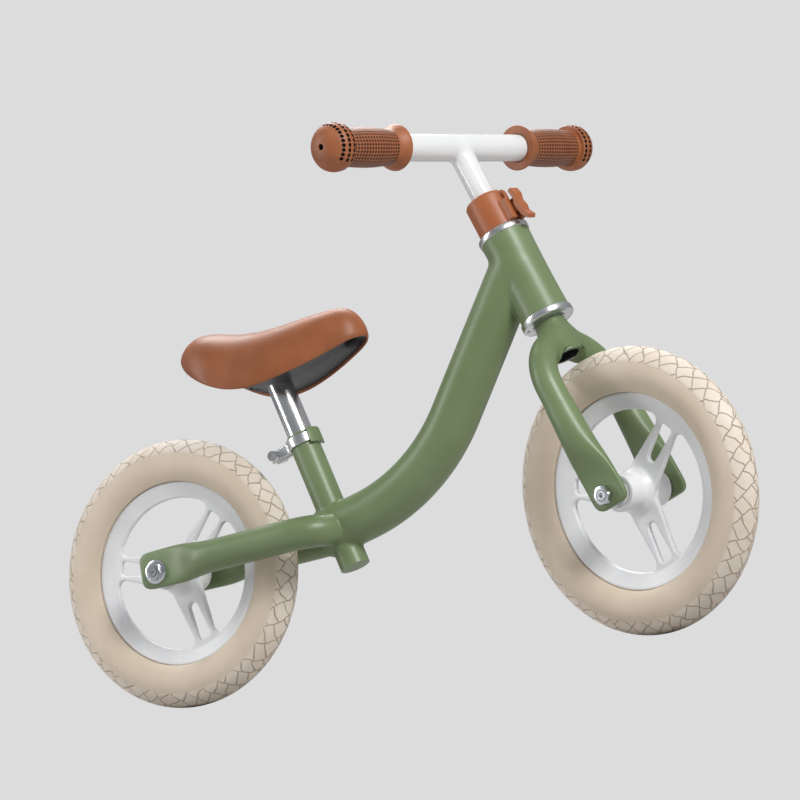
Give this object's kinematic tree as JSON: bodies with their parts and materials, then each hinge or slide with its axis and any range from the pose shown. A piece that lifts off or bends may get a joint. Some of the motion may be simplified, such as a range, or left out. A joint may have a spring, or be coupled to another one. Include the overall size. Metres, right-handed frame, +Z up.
{
  "type": "balance bike",
  "caption": "Child's balance bike with a bent main tube, turning fork, spoked moulded wheels, and a saddle and bars that slide in height",
  "frame": {"origin": "on the floor under the middle of the bike's bounding box", "axes": "+X forward, from the rear wheel to the front wheel; +Y to the rider's left; +Z up"},
  "size_m": [0.8314, 0.4054, 0.5761],
  "materials": {
    "frame_paint": "satin",
    "bar_paint": "gloss",
    "chrome": "polished",
    "bright_aluminium": "satin",
    "steel": "satin",
    "nut_chrome": "polished",
    "black_plastic": "matte",
    "black_gloss": "gloss",
    "saddle_skin": "satin",
    "brown_plastic": "satin",
    "grip_rubber": "matte",
    "wheel_plastic": "satin",
    "tyre": "matte"
  },
  "bodies": {
    "frame": {"head_tube": "frame_paint", "main_tube": "frame_paint", "seat_tube": "frame_paint", "right_stay": "frame_paint", "left_stay": "frame_paint", "seat_tube_plug": "frame_paint", "upper_headset_cup": "bright_aluminium", "lower_headset_cup": "bright_aluminium", "lower_cup_screw": "steel", "upper_headset_bearing": "steel", "lower_headset_bearing": "steel", "seat_clamp": "bright_aluminium", "seat_clamp_bolt": "steel", "seat_clamp_nut": "steel", "rear_axle": "steel", "rear_axle_spacers": "steel", "rear_axle_nuts": "nut_chrome"},
    "seat": {"seat_post": "chrome", "saddle_bracket": "black_plastic", "saddle_bracket_bolt": "steel", "saddle_base": "black_gloss", "saddle_cover": "saddle_skin"},
    "steering": {"fork": "frame_paint", "fork_crown_race": "steel", "clamp_collar": "brown_plastic", "front_axle": "steel", "front_axle_spacers": "steel", "front_axle_nuts": "nut_chrome"},
    "bars": {"stem_tube": "bar_paint", "handlebar": "bar_paint", "right_grip": "grip_rubber", "left_grip": "grip_rubber"},
    "clamp_screw": {"wing_screw": "brown_plastic"},
    "front_wheel_set": {"front_wheel": "wheel_plastic", "front_tyre": "tyre", "front_hub_bearings": "steel", "front_dust_caps": "wheel_plastic"},
    "rear_wheel_set": {"rear_wheel": "wheel_plastic", "rear_tyre": "tyre", "rear_hub_bearings": "steel", "rear_dust_caps": "wheel_plastic"}
  },
  "joints": [
    {"name": "steering_turn", "type": "hinge", "parent": "frame", "child": "steering", "pos_m": [0.27483, 0, 0.145], "axis": [-0.3649, 0, 0.9311], "range_deg": [-29.8, 60.2]},
    {"name": "front_wheel_spin", "type": "hinge", "parent": "steering", "child": "front_wheel_set", "pos_m": [0.27483, 0, 0.145], "axis": [0.2441, 0.965, 0.0957], "continuous": true},
    {"name": "rear_wheel_spin", "type": "hinge", "parent": "frame", "child": "rear_wheel_set", "pos_m": [-0.27067, 0, 0.145], "axis": [0, 1, 0], "continuous": true},
    {"name": "bar_height", "type": "slide", "parent": "steering", "child": "bars", "axis": [-0.3649, 0, 0.9311], "range_m": [-0.03, 0.04]},
    {"name": "seat_height", "type": "slide", "parent": "frame", "child": "seat", "axis": [-0.3057, 0, 0.9521], "range_m": [-0.04, 0.04]},
    {"name": "wing_screw_turn", "type": "hinge", "parent": "steering", "child": "clamp_screw", "pos_m": [0.15771, 0, 0.44387], "axis": [0.8985, -0.2622, 0.3521], "range_deg": [0, 360]}
  ]
}
